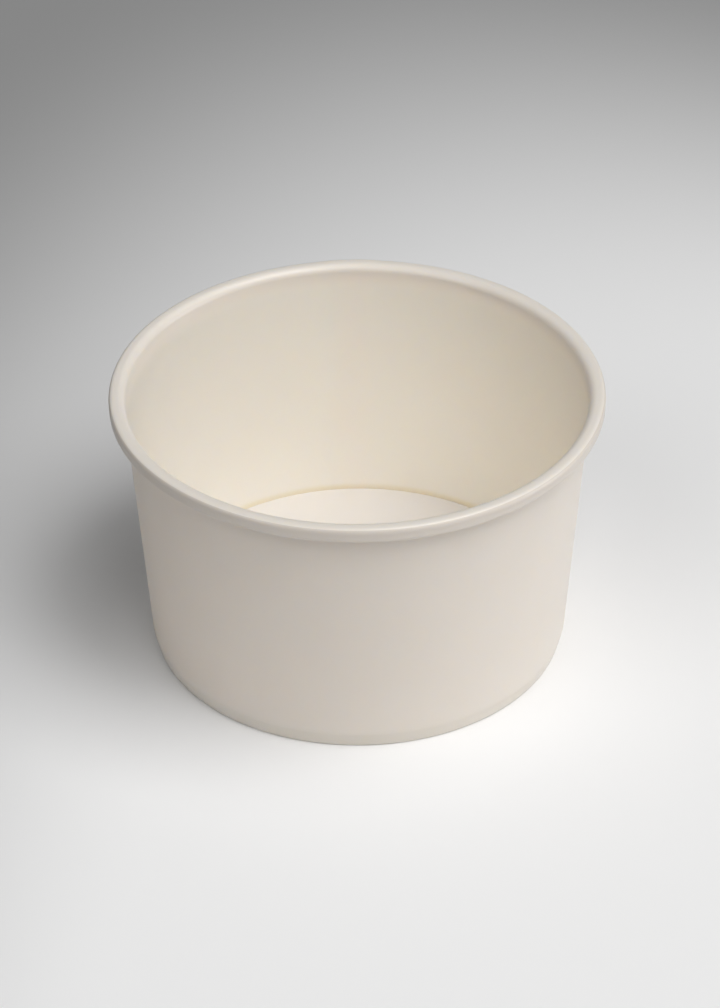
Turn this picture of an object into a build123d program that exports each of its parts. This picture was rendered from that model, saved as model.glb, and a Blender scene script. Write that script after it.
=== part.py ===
from build123d import *
import os
from math import asin, atan2, cos, degrees, hypot, radians, sin, sqrt, tan

os.makedirs("parts", exist_ok=True)

# A round paper tub for ice cream, in millimetres.
# It stands on z = 0 with its axis on Z, and its glued side seam is at the back, +Y.
# One wall blank carries the rolled rim and the folded foot.
# One base disc is held by its skirt between the wall and the fold.

# Outside sizes
tub_height = 56.0           # table to the top of the rolled rim
rim_outer_diameter = 96.0   # over the rolled rim
foot_outer_diameter = 81.0  # over the folded foot, where the wall would meet the table

# Wall board and its rolled rim
wall_board = 0.38           # thickness of the wall blank
roll_diameter = 3.25        # the rolled rim, seen in section
roll_turns = 1.1            # how far round the board is rolled
roll_play = 0.05            # air between one turn of the roll and the next
roll_flats_per_turn = 12    # the roll is a run of flats, each within 0.06 mm of its curve

# Folded foot
band_height = 3.2           # height of the crease above which the wall is a plain cone
band_press = 0.25           # how far the band below the crease is squeezed in at the table
fold_corner = 0.1           # how far each inside corner of the fold is cut off
flap_shortfall = 0.4        # the turned up flap ends this far below the crease

# Base disc
disc_board = 0.35           # thickness of the base disc
floor_above_crease = 1.4    # the disc's top lies this far above the crease
shoulder_radius = 0.8       # where the disc bends down into its skirt
shoulder_flats = 2          # the bend is a run of this many flats
glue_gap = 0.02             # between the skirt and the board on each side and below

# Glued side seam, where one end of the blank lies over the other
lap_width = 6.5             # along the outside of the wall
lap_position = 92.0         # degrees round from +X to the middle of the lap
lap_trim = 0.8              # the outer end stops this far above the table
lap_rim_swell = 0.2         # how much thicker the roll is over the lap
lap_swell_start = 3         # the swelling starts after this many flats of the roll

# Sizes that follow from the ones above
rim_radius = rim_outer_diameter / 2
foot_radius = foot_outer_diameter / 2
roll_radius = roll_diameter / 2
roll_centre = (rim_radius - roll_radius, tub_height - roll_radius)
roll_shrink = (wall_board + roll_play) / 2
floor_height = band_height + floor_above_crease
skirt_channel = disc_board + 2 * glue_gap
lap_angle = degrees(lap_width / foot_radius)


# Section lines: x is the distance from the axis, y is the height

def at_height(start, end, height):
    """Point on the line through start and end at a given height."""
    share = (height - start[1]) / (end[1] - start[1])
    return (start[0] + share * (end[0] - start[0]), height)


def cut_corner(before, corner, after, size):
    """The two points that replace a corner when size is cut off both its sides."""
    points = []
    for end in (before, after):
        share = size / hypot(end[0] - corner[0], end[1] - corner[1])
        x = corner[0] + share * (end[0] - corner[0])
        y = corner[1] + share * (end[1] - corner[1])
        points.append((x, y))
    return points


def shift_right(points, depth):
    """The same run of lines after each line moves to its right by depth."""
    rights = []
    for start, end in zip(points, points[1:]):
        length = hypot(end[0] - start[0], end[1] - start[1])
        rights.append(((end[1] - start[1]) / length, (start[0] - end[0]) / length))
    shifted = []
    for point, before, after in zip(points, rights[:1] + rights, rights + rights[-1:]):
        share = depth / (1 + before[0] * after[0] + before[1] * after[1])
        x = point[0] + share * (before[0] + after[0])
        y = point[1] + share * (before[1] + after[1])
        shifted.append((x, y))
    return shifted


def board_section(points, near, far):
    """Face of board between two depths to the right of a run of lines."""
    outline = shift_right(points, near) + shift_right(points, far)[::-1]
    return make_face(Polyline(*outline, close=True))


# Inside face of the board, which the skirt of the disc follows too

def wall_points():
    """Inside face of the wall: its corner in the fold, the crease, the start of the roll."""
    cone_foot = (foot_radius + band_press - wall_board, 0.0)
    across = roll_centre[0] - cone_foot[0]
    reach = hypot(across, roll_centre[1])
    steepness = atan2(roll_centre[1], across) + asin(roll_radius / reach)
    roll_start_x = roll_centre[0] - roll_radius * sin(steepness)
    roll_start = (roll_start_x, roll_centre[1] + roll_radius * cos(steepness))
    fold = (foot_radius - wall_board, wall_board)
    return fold, at_height(cone_foot, roll_start, band_height), roll_start


def flap_points():
    """Face of the turned up flap that lies on the skirt: its cut edge, its corner in the fold."""
    fold, crease, roll_start = wall_points()
    shift = skirt_channel * hypot(crease[0] - fold[0], crease[1] - fold[1]) / (crease[1] - fold[1])
    cut = at_height(fold, crease, band_height - flap_shortfall)
    return (cut[0] - shift, cut[1]), (fold[0] - shift, fold[1])


def roll_points():
    """Outer face of the roll: half turns, each tighter than the one outside it."""
    points = []
    for flat in range(1, round(roll_turns * roll_flats_per_turn) + 1):
        turned = 360 * flat / roll_flats_per_turn
        half_turn = turned // 180
        radius = roll_radius - half_turn * roll_shrink
        angle = radians(180 - turned)
        centre_x = roll_centre[0] + (half_turn % 2) * roll_shrink
        points.append((centre_x + radius * cos(angle), roll_centre[1] + radius * sin(angle)))
    return points


# Sections

def wall_section():
    """The wall blank in one run of board: flap, fold, pressed band, cone, rolled rim."""
    flap_cut, flap_fold = flap_points()
    fold, crease, roll_start = wall_points()
    under_flap = cut_corner(flap_cut, flap_fold, fold, fold_corner)
    under_wall = cut_corner(flap_fold, fold, crease, fold_corner)
    run = [flap_cut, *under_flap, *under_wall, crease, roll_start, *roll_points()]
    return board_section(run, 0, wall_board)


def lap_section():
    """The second layer over the seam: up the wall, then as a swelling round the roll."""
    fold, crease, roll_start = wall_points()
    foot = at_height(fold, crease, lap_trim)
    turn_radius = roll_radius - roll_shrink
    drop = sqrt(turn_radius ** 2 - (turn_radius - wall_board + roll_play) ** 2) + roll_play
    under_roll = at_height(crease, roll_start, roll_centre[1] - drop)
    layer = board_section([foot, crease, under_roll], wall_board / 2, 2 * wall_board)
    outside_of_roll = roll_points()[lap_swell_start - 1:3 * roll_flats_per_turn // 4]
    return layer + board_section(outside_of_roll, -lap_rim_swell, wall_board / 2)


def disc_section():
    """Half of the base disc: skirt, shoulder and flat, from its lower edge to the axis."""
    skirt = shift_right(wall_points(), -glue_gap)
    foot = at_height(skirt[0], skirt[1], wall_board + fold_corner + glue_gap)
    corner = at_height(skirt[1], skirt[2], floor_height)
    turn = radians(180) - atan2(skirt[2][1] - skirt[1][1], skirt[2][0] - skirt[1][0])
    centre_x = corner[0] - shoulder_radius * tan(turn / 2)
    shoulder = []
    for flat in range(shoulder_flats + 1):
        angle = radians(90) - turn * (1 - flat / shoulder_flats)
        x = centre_x + shoulder_radius * cos(angle)
        shoulder.append((x, floor_height - shoulder_radius + shoulder_radius * sin(angle)))
    return board_section([foot, skirt[1], *shoulder, (0.0, floor_height)], 0, -disc_board)


# Pieces

def turned_section(section, angle=360.0, start=0.0):
    """Solid swept by a section about Z, from a start angle."""
    return Rot(0, 0, start) * revolve(Plane.XZ * section, Axis.Z, angle)


def side_wall():
    """The whole wall blank, thicker over the lap of its glued seam."""
    lap_start = lap_position - lap_angle / 2
    plain = turned_section(wall_section(), 360 - lap_angle, lap_start + lap_angle)
    lap = turned_section(wall_section() + lap_section(), lap_angle, lap_start)
    return plain + lap


def base_disc():
    """The base disc with its turned down skirt."""
    return turned_section(disc_section())


export_step(side_wall(), "parts/side_wall.step")
export_step(base_disc(), "parts/base_disc.step")
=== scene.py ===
import math

import bmesh
import bpy
from mathutils import Matrix, Vector


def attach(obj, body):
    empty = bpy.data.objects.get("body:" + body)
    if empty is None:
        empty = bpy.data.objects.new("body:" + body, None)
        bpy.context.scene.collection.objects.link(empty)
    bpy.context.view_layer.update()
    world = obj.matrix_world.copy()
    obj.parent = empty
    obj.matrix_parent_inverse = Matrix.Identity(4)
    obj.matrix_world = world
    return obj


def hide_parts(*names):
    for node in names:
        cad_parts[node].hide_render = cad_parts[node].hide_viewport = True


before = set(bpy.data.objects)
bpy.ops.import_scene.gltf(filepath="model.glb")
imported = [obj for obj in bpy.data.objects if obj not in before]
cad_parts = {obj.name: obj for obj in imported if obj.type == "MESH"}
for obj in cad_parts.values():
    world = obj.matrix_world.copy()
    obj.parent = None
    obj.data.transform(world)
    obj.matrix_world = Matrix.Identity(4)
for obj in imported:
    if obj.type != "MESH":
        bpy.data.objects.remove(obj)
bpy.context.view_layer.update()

mm = 0.001


# one colour written as sRGB hex, turned to the linear values that sockets want
def hexToLinear(hexColour):
    channels = [int(hexColour[i:i + 2], 16) / 255 for i in (1, 3, 5)]
    linear = [c / 12.92 if c <= 0.04045 else ((c + 0.055) / 1.055) ** 2.4 for c in channels]
    return (*linear, 1.0)


# adds a node: its inputs, in order or by name, are values, sockets to link from, or nodes whose first
# output is linked, and the rest are its own settings
def addNode(tree, kind, inputs=(), **settings):
    node = tree.nodes.new(kind)
    for name, value in settings.items():
        setattr(node, name, value)
    named = inputs if isinstance(inputs, dict) else dict(enumerate(inputs))
    for name, value in named.items():
        source = value.outputs[0] if isinstance(value, bpy.types.Node) else value
        if isinstance(source, bpy.types.NodeSocket):
            tree.links.new(source, node.inputs[name])
        else:
            node.inputs[name].default_value = source
    return node


# Sections of board, in mm, as (distance from the axis, height) points in order

def arcPoints(centre, radius, startAngle, endAngle, steps):
    points = []
    for i in range(steps + 1):
        angle = math.radians(startAngle + (endAngle - startAngle) * i / steps)
        points.append((centre[0] + radius * math.cos(angle), centre[1] + radius * math.sin(angle)))
    return points


def atHeight(start, end, height):
    share = (height - start[1]) / (end[1] - start[1])
    return (start[0] + share * (end[0] - start[0]), height)


def linePoints(start, end, steps):
    return [(start[0] + (end[0] - start[0]) * i / steps, start[1] + (end[1] - start[1]) * i / steps)
            for i in range(steps + 1)]


# points of an arc of that radius, which replaces the corner of two straight runs
def roundCorner(before, corner, after, radius, steps):
    corner = Vector(corner)
    toBefore = (Vector(before) - corner).normalized()
    toAfter = (Vector(after) - corner).normalized()
    halfAngle = toBefore.angle(toAfter) / 2
    reach = radius / math.tan(halfAngle)
    centre = corner + (toBefore + toAfter).normalized() * radius / math.sin(halfAngle)
    first = corner + toBefore * reach - centre
    last = corner + toAfter * reach - centre
    sweep = math.atan2(first.x * last.y - first.y * last.x, first.dot(last))
    startAngle = math.degrees(math.atan2(first.y, first.x))
    return arcPoints(centre, radius, startAngle, startAngle + math.degrees(sweep), steps)


# vector to the right of the run at each of its points, long enough to keep the board's thickness at a bend
def rightOf(points):
    rights = []
    for start, end in zip(points, points[1:]):
        length = math.hypot(end[0] - start[0], end[1] - start[1])
        rights.append(((end[1] - start[1]) / length, (start[0] - end[0]) / length))
    joined = []
    for before, after in zip(rights[:1] + rights, rights + rights[-1:]):
        share = 1 / (1 + before[0] * after[0] + before[1] * after[1])
        joined.append((share * (before[0] + after[0]), share * (before[1] + after[1])))
    return joined


def shiftRight(points, depth):
    return [(x + depth * right[0], z + depth * right[1]) for (x, z), right in zip(points, rightOf(points))]


# closed outline of a board: its near face in order, then its far face back again
def boardOutline(run, thickness):
    return run + shiftRight(run, thickness)[::-1]


# The two pieces of board: lengths are in mm and angles in degrees

sideWall = {
    "height": 56.0,            # table to the top of the roll
    "rimDiameter": 96.0,
    "footDiameter": 81.0,
    "board": 0.38,             # thickness of the wall blank
    "coneSteps": 16,           # faces up the wall
    "turnSteps": 360,          # faces round the tub

    "rollDiameter": 3.25,
    "rollTurns": 1.1,
    "rollPlay": 0.05,          # air between one turn of the roll and the next
    "rollSteps": 30,           # faces in each half turn
    "rollFlatness": 1.6,       # 0 leaves the outer half round, more makes it squarer
    "rollWaist": 0.08,         # how deep the waist of the roll's outer side is
    "rollWaistAngle": -6.0,    # up from straight outwards
    "rollWaistReach": 34.0,    # to each side
    "rollShadeEdge": 55.68,       # height where its outer side leaves the food-side board for the outside board and its painted shade

    "bandHeight": 3.2,         # crease of the pressed band
    "bandPress": 0.5,          # how far the band is squeezed in at the table
    "creaseRadius": 2.5,       # of the wall's bend at the crease
    "creaseSteps": 6,
    "foldRadius": 0.12,        # of the inside corners of the folded foot
    "foldSteps": 5,
    "flapShortfall": 0.4,      # the turned up flap ends this far below the crease
    "glueGap": 0.02,           # between the skirt of the disc and the wall blank

    "rimWobble": 0.12,         # how far the rim wanders from round
    "wobbleScale": 1.1,        # slow waves of the wander in a length of one radius
    "wobbleSeed": 3.0,         # another number gives another rim

    "lapWidth": 6.5,           # second layer of board over the glued side seam, measured at the foot
    "lapCutAngle": 87.4,       # round from +X to the cut edge of the outer end
    "lapRamp": 2.4,            # width over which the outer end comes down off the inner one
    "lapTrim": 0.8,            # the outer end stops this far above the table
    "lapTrimStep": 0.01,       # height in which it reaches its full thickness there
    "lapInsideStep": 0.06,     # depth of the pressed edge of the inner end, seen inside
    "lapInsideFade": 3.6,      # width over which that edge dies away
    "lapRollSwell": 0.14,      # how far the roll bulges over the seam
    "lapSwellTop": 1.95,       # its bulge is full this far to each side of the lap's middle
}

baseDisc = {
    "board": 0.35,             # thickness of its board
    "height": 4.6,             # table to its top
    "bendRadius": 5.0,         # where its skirt follows the crease of the wall
    "bendSteps": 4,
    "shoulderRadius": 0.8,     # where it turns down into its skirt
    "shoulderSteps": 10,
    "flatSteps": 12,           # faces from the shoulder to the middle
}

rollRadius = sideWall["rollDiameter"] / 2
rollCentre = (sideWall["rimDiameter"] / 2 - rollRadius, sideWall["height"] - rollRadius)
rollShrink = (sideWall["board"] + sideWall["rollPlay"]) / 2


# inside face of the wall: its corner in the fold, the crease, and where it touches the roll
def wallLines():
    coneFoot = (sideWall["footDiameter"] / 2 + sideWall["bandPress"] - sideWall["board"], 0.0)
    across = rollCentre[0] - coneFoot[0]
    reach = math.hypot(across, rollCentre[1])
    steepness = math.atan2(rollCentre[1], across) + math.asin(rollRadius / reach)
    rollStart = (rollCentre[0] - rollRadius * math.sin(steepness),
                 rollCentre[1] + rollRadius * math.cos(steepness))
    fold = (sideWall["footDiameter"] / 2 - sideWall["board"], sideWall["board"])
    return fold, atHeight(coneFoot, rollStart, sideWall["bandHeight"]), rollStart


# how far out a point of the roll lies, as a share of its radius. The rim tool presses the outer half
# towards a square, with a shallow waist over a lip at its lower edge, and leaves the inner half round,
# which a power of 2 gives
def pressedShare(angle):
    power = 2 + (sideWall["rollFlatness"] if abs(angle) < 90 else 0)
    cosine, sine = abs(math.cos(math.radians(angle))), abs(math.sin(math.radians(angle)))
    square = (cosine ** power + sine ** power) ** (-1 / power)
    offWaist = (angle - sideWall["rollWaistAngle"]) / sideWall["rollWaistReach"]
    return square - max(0.0, 1 - offWaist ** 2) ** 2 * sideWall["rollWaist"] / rollRadius


# outer face of the roll from where the wall touches it: half turns, each tighter than the one outside it
def rollPoints(rollStart):
    points = []
    halfTurns = 2 * sideWall["rollTurns"]
    firstAngle = math.degrees(math.atan2(rollStart[1] - rollCentre[1], rollStart[0] - rollCentre[0]))
    for halfTurn in range(math.ceil(halfTurns)):
        centre = rollCentre[0] + (halfTurn % 2) * rollShrink
        radius = rollRadius - halfTurn * rollShrink
        startAngle = firstAngle if halfTurn == 0 else 180 - 180 * halfTurn
        endAngle = -180 * min(halfTurn, halfTurns - 1)
        steps = math.ceil(sideWall["rollSteps"] * (startAngle - endAngle) / 180)
        for i in range(1, steps + 1):
            angle = startAngle + (endAngle - startAngle) * i / steps
            reach = radius * pressedShare((angle + 180) % 360 - 180)
            points.append((centre + reach * math.cos(math.radians(angle)),
                           rollCentre[1] + reach * math.sin(math.radians(angle))))
    return points


# food side of the wall blank, from the cut edge of its flap to the end of its roll, in three stretches:
# the flap and its fold, the pressed band and the cone, and the roll
def wallStretches():
    fold, crease, rollStart = wallLines()
    channel = baseDisc["board"] + 2 * sideWall["glueGap"]
    shift = channel * math.hypot(crease[0] - fold[0], crease[1] - fold[1]) / (crease[1] - fold[1])
    cut = atHeight(fold, crease, sideWall["bandHeight"] - sideWall["flapShortfall"])
    flapCut = (cut[0] - shift, cut[1])
    flapFold = (fold[0] - shift, fold[1])
    folded = [flapCut]
    for before, corner, after in ((flapCut, flapFold, fold), (flapFold, fold, crease)):
        folded += roundCorner(before, corner, after, sideWall["foldRadius"], sideWall["foldSteps"])
    bend = roundCorner(fold, crease, rollStart, sideWall["creaseRadius"], sideWall["creaseSteps"])
    # two points almost at one height, so that the layer over the seam starts with a cut edge
    wall = [atHeight(fold, crease, sideWall["lapTrim"] - sideWall["lapTrimStep"]),
            atHeight(fold, crease, sideWall["lapTrim"]), *bend]
    wall += linePoints(bend[-1], rollStart, sideWall["coneSteps"])[1:]
    return folded, wall, rollPoints(rollStart)


# Turning a section

meshFinish = {
    "weldDistance": 0.0005,    # mm, points this close become one
    "shortestEdge": 0.0002,    # mm, a shorter one is dissolved
    "sharpAngle": 50.0,        # degrees between two faces, past which their edge looks sharp
    "foodShare": 0.6,          # of a face's corners on the food side, past which it takes that finish
}


# Geometry Nodes tree that turns a section about Z. The object's own mesh is the section: its points
# lie in order in the XZ plane, and its attributes say how far the seam pushes each one.
def turnedSectionTree():
    tree = bpy.data.node_groups.new("turnedSection", "GeometryNodeTree")
    face = tree.interface
    for name, kind in (
            ("Section", "Geometry"), ("Steps", "Int"), ("Cut Angle", "Float"), ("Lap Angle", "Float"),
            ("Ramp Angle", "Float"), ("Fade Angle", "Float"), ("Swell Angle", "Float"),
            ("Full Height", "Float"), ("Wobble", "Float"), ("Wobble Scale", "Float"), ("Seed", "Float"),
            ("Outside", "Material"), ("Food Side", "Material")):
        face.new_socket(name, in_out="INPUT", socket_type="NodeSocket" + kind)
    face.new_socket("Geometry", in_out="OUTPUT", socket_type="NodeSocketGeometry")
    given = addNode(tree, "NodeGroupInput").outputs
    lap = given["Lap Angle"]

    # a row for each point of the section, and one more on the first, which closes the outline. A column
    # for each step round, and two more where the last step ends: the second layer of board starts
    # between these two, which makes the cut edge of the seam.
    count = addNode(tree, "GeometryNodeAttributeDomainSize", (given["Section"],), component="MESH")
    rows = addNode(tree, "ShaderNodeMath", (count, 1.0), operation="ADD")
    columns = addNode(tree, "ShaderNodeMath", (given["Steps"], 2.0), operation="ADD")
    grid = addNode(tree, "GeometryNodeMeshGrid", {"Vertices X": columns, "Vertices Y": rows})
    index = addNode(tree, "GeometryNodeInputIndex")
    inMiddle = addNode(tree, "ShaderNodeMath", (index, 0.5), operation="ADD")  # so that rounding can't matter
    columnShare = addNode(tree, "ShaderNodeMath", (inMiddle, rows), operation="DIVIDE")
    column = addNode(tree, "ShaderNodeMath", (columnShare,), operation="FLOOR")
    gridRow = addNode(tree, "ShaderNodeMath", (index, rows), operation="MODULO")
    row = addNode(tree, "ShaderNodeMath", (gridRow, count), operation="MODULO")
    sampled = {}
    for name in ("position", "lapPush", "groovePush", "rollPush", "foodSide"):
        field = addNode(tree, "GeometryNodeInputNamedAttribute", {"Name": name}, data_type="FLOAT_VECTOR")
        sampled[name] = addNode(tree, "GeometryNodeSampleIndex", {
            "Geometry": given["Section"], "Value": field, "Index": row},
            data_type="FLOAT_VECTOR", domain="POINT")

    # angle from the cut edge on, the same for the last two columns
    around = addNode(tree, "ShaderNodeMapRange", {
        "Value": column, "From Max": given["Steps"], "To Max": math.tau}, clamp=True)
    lastColumn = addNode(tree, "ShaderNodeMath", (column, given["Steps"]), operation="GREATER_THAN")

    # the second layer is full from the cut edge to its ramp, the pressed edge of the inner end fades out
    # past the lap, and the roll swells over the lap and dies away to both sides
    rampStart = addNode(tree, "ShaderNodeMath", (lap, given["Ramp Angle"]), operation="SUBTRACT")
    pastLap = addNode(tree, "ShaderNodeMath", (around, lap), operation="GREATER_THAN")
    grooveEnd = addNode(tree, "ShaderNodeMath", (lap, given["Fade Angle"]), operation="ADD")
    lapMiddle = addNode(tree, "ShaderNodeMath", (lap, 0.5), operation="MULTIPLY")
    signed = addNode(tree, "ShaderNodeMath", (around, math.pi, -math.pi), operation="WRAP")
    offMiddle = addNode(tree, "ShaderNodeMath", (signed, lapMiddle), operation="SUBTRACT")
    fromMiddle = addNode(tree, "ShaderNodeMath", (offMiddle,), operation="ABSOLUTE")
    falls = []
    for distance, fullTo, noneFrom in (
            (around, rampStart, lap), (around, lap, grooveEnd), (fromMiddle, given["Swell Angle"], lap)):
        falls.append(addNode(tree, "ShaderNodeMapRange", {
            "Value": distance, "From Min": fullTo, "From Max": noneFrom, "To Min": 1.0, "To Max": 0.0},
            interpolation_type="SMOOTHSTEP"))
    layerFall, grooveFall, swell = falls
    layer = addNode(tree, "ShaderNodeMath", (layerFall, lastColumn), operation="MAXIMUM")
    groove = addNode(tree, "ShaderNodeMath", (grooveFall, pastLap), operation="MULTIPLY")
    place = sampled["position"]
    for name, share in (("lapPush", layer), ("groovePush", groove), ("rollPush", swell)):
        place = addNode(tree, "ShaderNodeVectorMath", (sampled[name], share, place), operation="MULTIPLY_ADD")
    point = addNode(tree, "ShaderNodeSeparateXYZ", (place,)).outputs

    # a slow wander out and in, which grows with the square of the height. Noise lies round a half.
    angle = addNode(tree, "ShaderNodeMath", (given["Cut Angle"], around), operation="ADD")
    cosine = addNode(tree, "ShaderNodeMath", (angle,), operation="COSINE")
    sine = addNode(tree, "ShaderNodeMath", (angle,), operation="SINE")
    ring = addNode(tree, "ShaderNodeCombineXYZ", (cosine, sine, given["Seed"]))
    noise = addNode(tree, "ShaderNodeTexNoise", {
        "Vector": ring, "Scale": given["Wobble Scale"], "Detail": 1.0, "Roughness": 0.4})
    wander = addNode(tree, "ShaderNodeMath", (noise, 0.5), operation="SUBTRACT")
    heightUp = addNode(tree, "ShaderNodeMath", (point["Z"], given["Full Height"]), operation="DIVIDE")
    rise = addNode(tree, "ShaderNodeMath", (heightUp, 2.0), operation="POWER")
    wobble = addNode(tree, "ShaderNodeMath", (given["Wobble"], rise), operation="MULTIPLY")
    radius = addNode(tree, "ShaderNodeMath", (wander, wobble, point["X"]), operation="MULTIPLY_ADD")
    spotX = addNode(tree, "ShaderNodeMath", (radius, cosine), operation="MULTIPLY")
    spotY = addNode(tree, "ShaderNodeMath", (radius, sine), operation="MULTIPLY")
    spot = addNode(tree, "ShaderNodeCombineXYZ", (spotX, spotY, point["Z"]))

    foodSide = addNode(tree, "ShaderNodeSeparateXYZ", (sampled["foodSide"],))
    marked = addNode(tree, "GeometryNodeStoreNamedAttribute", {
        "Geometry": grid, "Name": "foodSide", "Value": foodSide}, data_type="FLOAT", domain="POINT")
    turned = addNode(tree, "GeometryNodeSetPosition", {"Geometry": marked, "Position": spot})
    closed = addNode(tree, "GeometryNodeMergeByDistance", {
        "Geometry": turned, "Distance": meshFinish["weldDistance"] * mm})
    real = addNode(tree, "GeometryNodeRealizeInstances", {"Geometry": closed})
    outside = addNode(tree, "GeometryNodeSetMaterial", {"Geometry": real, "Material": given["Outside"]})
    share = addNode(tree, "GeometryNodeInputNamedAttribute", {"Name": "foodSide"}, data_type="FLOAT")
    onFoodSide = addNode(tree, "ShaderNodeMath", (share, meshFinish["foodShare"]), operation="GREATER_THAN")
    both = addNode(tree, "GeometryNodeSetMaterial", {
        "Geometry": outside, "Selection": onFoodSide, "Material": given["Food Side"]})
    addNode(tree, "NodeGroupOutput", (both,))
    return tree


# runs the tree on an outline in mm and returns the finished plain mesh object. Each push is a list of
# (out, up) vectors, one for each point of the outline.
def turnOutline(tree, name, outline, pushes, values):
    mesh = bpy.data.meshes.new(name + "Section")
    mesh.from_pydata([(x * mm, 0.0, z * mm) for x, z in outline], [], [])
    for key, vectors in pushes.items():
        attribute = mesh.attributes.new(key, "FLOAT_VECTOR", "POINT")
        for item, (x, z) in zip(attribute.data, vectors):
            item.vector = (x, 0.0, z)
    section = bpy.data.objects.new(name + "Section", mesh)
    bpy.context.collection.objects.link(section)
    modifier = section.modifiers.new("turnedSection", "NODES")
    modifier.node_group = tree
    identifiers = {item.name: item.identifier for item in tree.interface.items_tree if item.in_out == "INPUT"}
    for key, value in values.items():
        modifier[identifiers[key]] = value
    graph = bpy.context.evaluated_depsgraph_get()
    finished = bpy.data.meshes.new_from_object(
        section.evaluated_get(graph), preserve_all_data_layers=True, depsgraph=graph)
    section.modifiers.remove(modifier)
    bpy.data.objects.remove(section)
    work = bmesh.new()
    work.from_mesh(finished)
    bmesh.ops.dissolve_degenerate(work, edges=work.edges, dist=meshFinish["shortestEdge"] * mm)
    bmesh.ops.delete(work, geom=[edge for edge in work.edges if not edge.link_faces], context="EDGES")
    bmesh.ops.recalc_face_normals(work, faces=work.faces)
    openEdges = sum(1 for edge in work.edges if len(edge.link_faces) != 2)
    work.to_mesh(finished)
    work.free()
    finished.shade_smooth()
    finished.set_sharp_from_angle(angle=math.radians(meshFinish["sharpAngle"]))
    finished.name = name
    piece = bpy.data.objects.new(name, finished)
    bpy.context.collection.objects.link(piece)
    print(name, "turned:", len(finished.polygons), "faces,", openEdges, "open edges")
    return piece


# Materials

boardLook = {
    "cloudSize": 11.0,         # mm
    "fibreSize": 0.4,          # mm
    "toothDepth": 0.02,        # mm
    "ior": 1.5,                # of its fibre and its coating
    "lightShare": 0.85,        # of the light travels in the sheet before it leaves
    "lightReach": 0.44,        # mm that it travels
    "lightColours": (1.0, 0.91, 0.72),  # of that reach for red, green and blue: the sheet warms it
    "pressedRoughness": 0.36,  # of the rolled rim, which the tool leaves smoother
    # a band is a tone of painted shade and the heights in mm where it starts to show and where it shows in
    # full, and the board turns as smooth as the rolled rim from one pressed height to the other
    "foodSide": {
        "darkTone": "#FBF0E5", "lightTone": "#FCF2E9", "roughness": 0.6, "tooth": 0.12,
        # painted shade, yellowish, in the corner over the base disc where the glue line runs, and painted
        # shade greying the top of the wall and the roll, which the lamps above light most
        "paintedShadeBands": (("#F5EAD6", 5.8, 4.6), ("#ECE5DC", 51.5, 55.5)),
        "pressedFrom": 53.0, "pressedTo": 55.0},
    "outside": {
        # its tones sit below the food side's by painted shade
        "darkTone": "#E3DCD3", "lightTone": "#E6DFD7", "roughness": 0.6, "tooth": 0.2,
        # painted shade on the pressed band at the foot, which tilts away from the lamps, and on the outer
        # side of the roll under its lit top
        "paintedShadeBands": (("#E1DAD0", 4.3, 2.6), ("#DBD3CA", 52.6, 52.9)),
        "pressedFrom": 52.5, "pressedTo": 53.0},
    # the base's tones sit below the food side's by painted shade
    "base": {"darkTone": "#DCD8D1", "lightTone": "#DFDCD6", "roughness": 0.6, "tooth": 0.12, "paintedShadeBands": ()},
}


# 0 at one height in mm and 1 at another, with a smooth change between them
def heightShare(tree, coords, fromHeight, toHeight):
    height = addNode(tree, "ShaderNodeSeparateXYZ", (coords,)).outputs["Z"]
    return addNode(tree, "ShaderNodeMapRange", {
        "Value": height, "From Min": fromHeight * mm, "From Max": toHeight * mm},
        interpolation_type="SMOOTHSTEP")


# White board of pressed fibre, 0.35 to 0.38 mm thick. A faint cloudiness and a fine tooth keep it from
# looking like plastic, and the little light that passes through the sheet warms its shaded side.
def paperboard(name, look):
    material = bpy.data.materials.new(name)
    material.use_nodes = True
    tree = material.node_tree
    shader = tree.nodes["Principled BSDF"]
    coords = addNode(tree, "ShaderNodeTexCoord").outputs["Object"]
    cloud = addNode(tree, "ShaderNodeTexNoise", {
        "Vector": coords, "Scale": 1 / (boardLook["cloudSize"] * mm), "Detail": 3.0, "Roughness": 0.55})
    # inputs 6 and 7 and output 2 are the colours of a Mix node
    tone = addNode(tree, "ShaderNodeMix", {
        "Factor": cloud, 6: hexToLinear(look["darkTone"]), 7: hexToLinear(look["lightTone"])},
        data_type="RGBA").outputs[2]
    # each band mixes in a tone of painted shade by height
    for shadeTone, fromHeight, toHeight in look["paintedShadeBands"]:
        share = heightShare(tree, coords, fromHeight, toHeight)
        tone = addNode(tree, "ShaderNodeMix", {
            "Factor": share, 6: tone, 7: hexToLinear(shadeTone)}, data_type="RGBA").outputs[2]
    tree.links.new(tone, shader.inputs["Base Color"])
    fibre = addNode(tree, "ShaderNodeTexNoise", {
        "Vector": coords, "Scale": 1 / (boardLook["fibreSize"] * mm), "Detail": 2.0, "Roughness": 0.6})
    bump = addNode(tree, "ShaderNodeBump", {
        "Height": fibre, "Strength": look["tooth"], "Distance": boardLook["toothDepth"] * mm})
    tree.links.new(bump.outputs[0], shader.inputs["Normal"])
    shader.inputs["Roughness"].default_value = look["roughness"]
    if "pressedFrom" in look:
        roughness = addNode(tree, "ShaderNodeMapRange", {
            "Value": heightShare(tree, coords, look["pressedFrom"], look["pressedTo"]),
            "To Min": look["roughness"], "To Max": boardLook["pressedRoughness"]})
        tree.links.new(roughness.outputs[0], shader.inputs["Roughness"])
    shader.inputs["IOR"].default_value = boardLook["ior"]
    shader.inputs["Subsurface Weight"].default_value = boardLook["lightShare"]
    shader.inputs["Subsurface Scale"].default_value = boardLook["lightReach"] * mm
    shader.inputs["Subsurface Radius"].default_value = boardLook["lightColours"]
    return material


# Food side of the wall, with its thin smooth coating: the lightest and warmest, with little tooth.
coatedWallBoard = paperboard("coatedWallBoard", boardLook["foodSide"])
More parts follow.
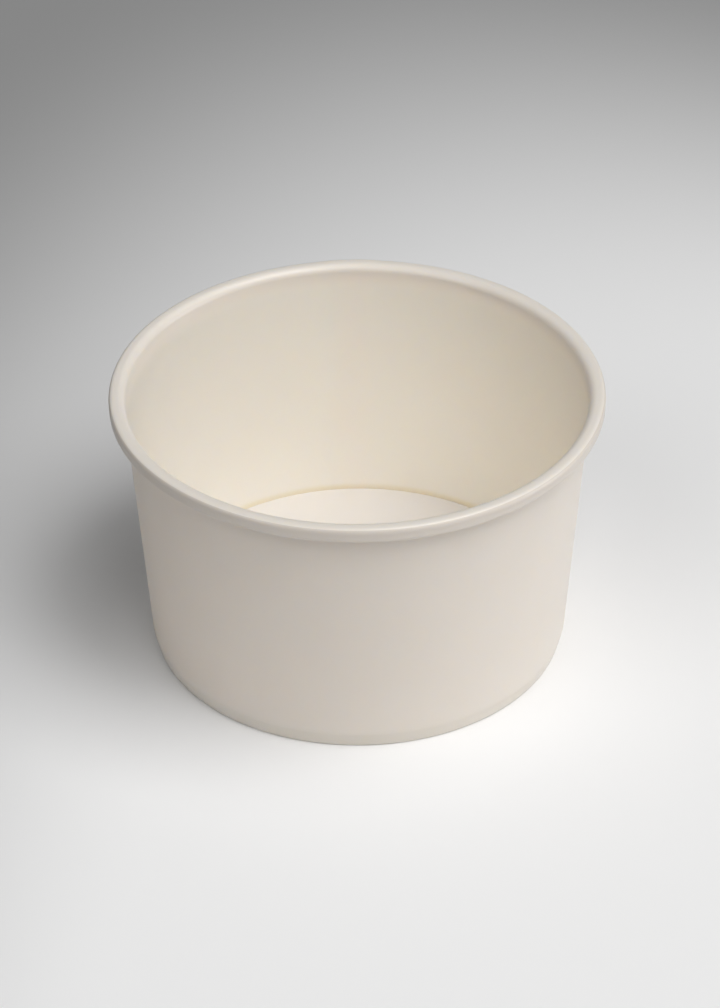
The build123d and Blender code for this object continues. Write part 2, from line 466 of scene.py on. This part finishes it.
# Outside of the wall: the same board uncoated, a touch greyer and with more tooth, and darker than the food
# side by painted shade.
uncoatedShadedWallBoard = paperboard("uncoatedShadedWallBoard", boardLook["outside"])
# Base disc: its own sheet, a little cooler than the wall, so that the floor of the tub reads apart, and
# darker by painted shade that holds its up-facing floor down against the light from above.
coatedShadedBaseBoard = paperboard("coatedShadedBaseBoard", boardLook["base"])
turnTree = turnedSectionTree()
print("materials and the turning tree are made")

# The wall and the disc

footRadius = sideWall["footDiameter"] / 2
wallValues = {
    "Steps": sideWall["turnSteps"],
    "Cut Angle": math.radians(sideWall["lapCutAngle"]),
    "Lap Angle": sideWall["lapWidth"] / footRadius,
    "Ramp Angle": sideWall["lapRamp"] / footRadius,
    "Fade Angle": sideWall["lapInsideFade"] / footRadius,
    "Swell Angle": sideWall["lapSwellTop"] / footRadius,
    "Full Height": sideWall["height"] * mm,
    "Wobble": 2 * sideWall["rimWobble"] * mm,
    "Wobble Scale": sideWall["wobbleScale"],
    "Seed": sideWall["wobbleSeed"],
    "Outside": uncoatedShadedWallBoard,
    "Food Side": coatedWallBoard,
}


def makeWall():
    folded, wall, roll = wallStretches()
    run = folded + wall + roll
    count = len(run)
    none = (0.0, 0.0)

    # the coated finish runs over the top of the roll and ends a little way down its outer side, where the
    # painted shade of the roll's outer side begins
    steps = sideWall["rollSteps"]
    crest = max(range(len(roll)), key=lambda i: roll[i][1])
    overCrest = sum(1 for point in roll[crest:crest + steps] if point[1] > sideWall["rollShadeEdge"])
    coated = len(folded) + len(wall) + crest + overCrest

    # the pressed edge inside, and a bulge that starts at the wall and is over after one turn of the roll
    insideStep = [none] * len(folded) + [(sideWall["lapInsideStep"] * mm, 0.0)] * (len(wall) - 1)
    rollSwell = [none] * (len(folded) + len(wall))
    for i, (x, z) in enumerate(roll):
        bulge = math.sin(math.pi * min(i / (2 * steps), 1.0)) * sideWall["lapRollSwell"] * mm / rollRadius
        rollSwell.append((bulge * (x - rollCentre[0]), bulge * (z - rollCentre[1])))

    # the second layer, one board thick, on the outer face from its trimmed end to the roll
    board = sideWall["board"]
    layer = [none] * count
    rights = rightOf(run)
    for i in range(len(folded) + 1, len(folded) + len(wall) - 1):
        layer[i] = (rights[i][0] * board * mm, rights[i][1] * board * mm)

    # the outline is the inner face in order, then the outer face back again
    pushes = {
        "foodSide": [(1.0, 0.0)] * coated + [none] * (2 * count - coated),
        "groovePush": insideStep + [none] * (2 * count - len(insideStep)),
        "rollPush": rollSwell + [none] * count,
        "lapPush": [none] * count + layer[::-1],
    }
    return turnOutline(turnTree, "sideWall", boardOutline(run, board), pushes, wallValues)


def makeDisc():
    gap = sideWall["glueGap"]
    skirtCorner, bend, top = shiftRight(wallLines(), -gap)
    skirtFoot = atHeight(skirtCorner, bend, sideWall["board"] + sideWall["foldRadius"] + gap)
    corner = atHeight(bend, top, baseDisc["height"])
    middle = (0.0, baseDisc["height"])
    run = [skirtFoot]
    run += roundCorner(skirtFoot, bend, corner, baseDisc["bendRadius"], baseDisc["bendSteps"])
    run += roundCorner(bend, corner, middle, baseDisc["shoulderRadius"], baseDisc["shoulderSteps"])
    run += linePoints(run[-1], middle, baseDisc["flatSteps"])[1:]
    outline = boardOutline(run, -baseDisc["board"])[::-1]
    discValues = {**wallValues, "Wobble": 0.0, "Outside": coatedShadedBaseBoard, "Food Side": coatedShadedBaseBoard}
    return turnOutline(turnTree, "baseDisc", outline, {}, discValues)


wall = makeWall()
disc = makeDisc()
for piece, slot, node in ((wall, "wall_board", "side_wall"), (disc, "base_board", "base_disc")):
    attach(piece, "root")
    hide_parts(node)

# Floor, light and camera

stageValues = {
    "floorSize": 6.0,          # m
    "nearColour": "#F5F5F5",   # the backdrop is pale round the tub and greys off past an oval, a painted shade for the lamps' falloff
    "paintedFalloffColour": "#9C9C9C",
    "ovalCentre": (0.29, -0.7, 0.0),      # m
    "ovalTurn": 16.5,          # degrees from +X to its first half axis
    "ovalHalfAxes": (0.335, 1.06, 1.0),   # m
    "paleShare": 0.77,         # of the oval, from its middle out
    "floorRoughness": 0.9,
    "floorShine": 0.2,
    "roomColour": "#FFFFFF",
    "roomStrength": 0.05,
    "lampDistance": 2.0,       # m from the middle of the tub
}

# azimuth from +X and elevation in degrees, width and height in m, power in W
softLamps = {
    "keyLamp": {"azimuth": -25.0, "elevation": 60.0, "width": 1.3, "height": 1.3, "power": 14.6},
    "topLamp": {"azimuth": 0.0, "elevation": 75.0, "width": 1.0, "height": 1.0, "power": 5.5},
    "frontLamp": {"azimuth": -60.0, "elevation": 54.0, "width": 1.3, "height": 1.3, "power": 13.0},
    "leftFill": {"azimuth": -135.0, "elevation": 42.0, "width": 1.6, "height": 1.6, "power": 8.6},
    "lowCard": {"azimuth": -5.0, "elevation": 2.5, "width": 1.2, "height": 0.14, "power": 8.0},
}


# Matte backdrop paper: it keeps a soft shadow, and its colour greys off with distance as a painted shade for
# the lamps' falloff.
def backdropPaper():
    material = bpy.data.materials.new("matteBackdropPaper")
    material.use_nodes = True
    tree = material.node_tree
    shader = tree.nodes["Principled BSDF"]
    coords = addNode(tree, "ShaderNodeTexCoord").outputs["Object"]
    oval = addNode(tree, "ShaderNodeMapping", {
        "Vector": coords, "Location": stageValues["ovalCentre"], "Scale": stageValues["ovalHalfAxes"],
        "Rotation": (0.0, 0.0, math.radians(stageValues["ovalTurn"]))}, vector_type="TEXTURE")
    reach = addNode(tree, "ShaderNodeVectorMath", (oval,), operation="LENGTH").outputs["Value"]
    # painted shade: the backdrop darkens past the oval
    grey = addNode(tree, "ShaderNodeMapRange", {
        "Value": reach, "From Min": stageValues["paleShare"]}, interpolation_type="SMOOTHSTEP")
    near, far = hexToLinear(stageValues["nearColour"]), hexToLinear(stageValues["paintedFalloffColour"])
    tone = addNode(tree, "ShaderNodeMix", {"Factor": grey, 6: near, 7: far}, data_type="RGBA")
    tree.links.new(tone.outputs[2], shader.inputs["Base Color"])
    shader.inputs["Roughness"].default_value = stageValues["floorRoughness"]
    shader.inputs["Specular IOR Level"].default_value = stageValues["floorShine"]
    return material


def makeFloor():
    half = stageValues["floorSize"] / 2
    corners = [(-half, -half, 0), (half, -half, 0), (half, half, 0), (-half, half, 0)]
    mesh = bpy.data.meshes.new("floor")
    mesh.from_pydata(corners, [], [(0, 1, 2, 3)])
    floor = bpy.data.objects.new("floor", mesh)
    bpy.context.collection.objects.link(floor)
    mesh.materials.append(backdropPaper())


def addSoftLamp(name, azimuth, elevation, width, height, power):
    data = bpy.data.lights.new(name, "AREA")
    data.shape = "ELLIPSE"
    data.size = width
    data.size_y = height
    data.energy = power
    lamp = bpy.data.objects.new(name, data)
    bpy.context.collection.objects.link(lamp)
    around, up = math.radians(azimuth), math.radians(elevation)
    away = Vector((math.cos(up) * math.cos(around), math.cos(up) * math.sin(around), math.sin(up)))
    lamp.location = away * stageValues["lampDistance"] + Vector((0.0, 0.0, sideWall["height"] * mm / 2))
    lamp.rotation_euler = away.to_track_quat("Z", "Y").to_euler()


def lightRoom():
    room = bpy.data.worlds.new("softRoom")
    bpy.context.scene.world = room
    room.use_nodes = True
    background = room.node_tree.nodes["Background"]
    background.inputs["Color"].default_value = hexToLinear(stageValues["roomColour"])
    background.inputs["Strength"].default_value = stageValues["roomStrength"]


makeFloor()
for lampName, lampValues in softLamps.items():
    addSoftLamp(lampName, **lampValues)
lightRoom()

photoView = {
    "focal": 4000.0,           # px for a picture 1008 px high
    "pictureHeight": 1008.0,
    "elevation": 34.757,       # degrees
    "roll": -0.36,             # degrees
    "aim": (0.4, 13.4, 19.35),  # mm, the point at the picture's centre
    "distance": 803.9,         # mm
    "sensorWidth": 36.0,       # mm
    "nearest": 0.01,           # m, nothing closer or further is drawn
    "furthest": 20.0,
}


def placeCamera():
    data = bpy.data.cameras.new("photoCamera")
    data.sensor_width = photoView["sensorWidth"]
    data.lens = photoView["focal"] / photoView["pictureHeight"] * data.sensor_width
    data.clip_start = photoView["nearest"]
    data.clip_end = photoView["furthest"]
    camera = bpy.data.objects.new("photoCamera", data)
    bpy.context.collection.objects.link(camera)
    tilt = math.radians(photoView["elevation"])
    back = Vector((0.0, -math.cos(tilt), math.sin(tilt)))
    camera.location = Vector(photoView["aim"]) * mm + back * photoView["distance"] * mm
    roll = Matrix.Rotation(math.radians(photoView["roll"]), 3, "Z")
    camera.rotation_euler = ((-back).to_track_quat("-Z", "Y").to_matrix() @ roll).to_euler()
    bpy.context.scene.camera = camera


placeCamera()
bpy.context.scene.view_settings.view_transform = "Standard"
print("floor, light and camera are in place")
